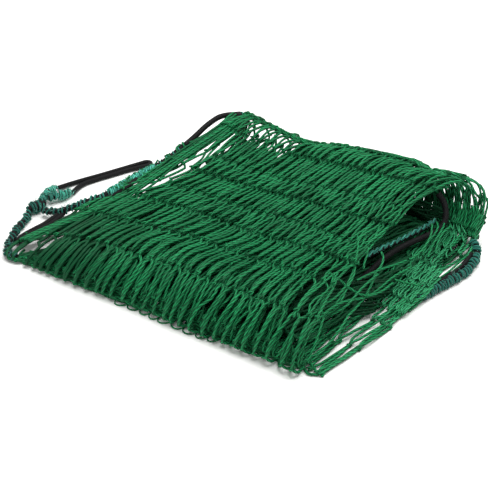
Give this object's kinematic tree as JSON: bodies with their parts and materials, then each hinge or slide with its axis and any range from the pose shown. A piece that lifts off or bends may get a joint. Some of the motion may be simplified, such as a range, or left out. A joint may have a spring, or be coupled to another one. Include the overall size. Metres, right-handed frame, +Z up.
{
  "type": "folded trailer net",
  "caption": "Knotted green load net folded into a flat pack, its border lashed to an elastic cord with a free elastic loop at one corner for hooking it over a trailer.",
  "frame": {"origin": "on the floor under the middle of the pack", "axes": "+X along the front fold away from the corner with the loop, +Y from the front fold to the back fold, +Z up"},
  "size_m": [0.3796, 0.2892, 0.0632],
  "materials": {
    "net_twine": "twisted polypropylene twine, slight sheen",
    "lashing_twine": "braided teal twine, matt and a little fuzzy",
    "elastic": "black braided cover over a rubber core, slight sheen"
  },
  "bodies": {
    "root": {"net": "net_twine", "border_cord_tip": "lashing_twine", "border_cord_top": "lashing_twine", "border_cord_back": "lashing_twine", "border_cord_right": "lashing_twine", "border_cord_inner": "lashing_twine", "elastic_left": "elastic", "elastic_back": "elastic", "elastic_inner": "elastic", "elastic_loop": "elastic", "lashing_outer": "lashing_twine", "lashing_inner": "lashing_twine", "corner_knot": "lashing_twine"}
  },
  "joints": []
}
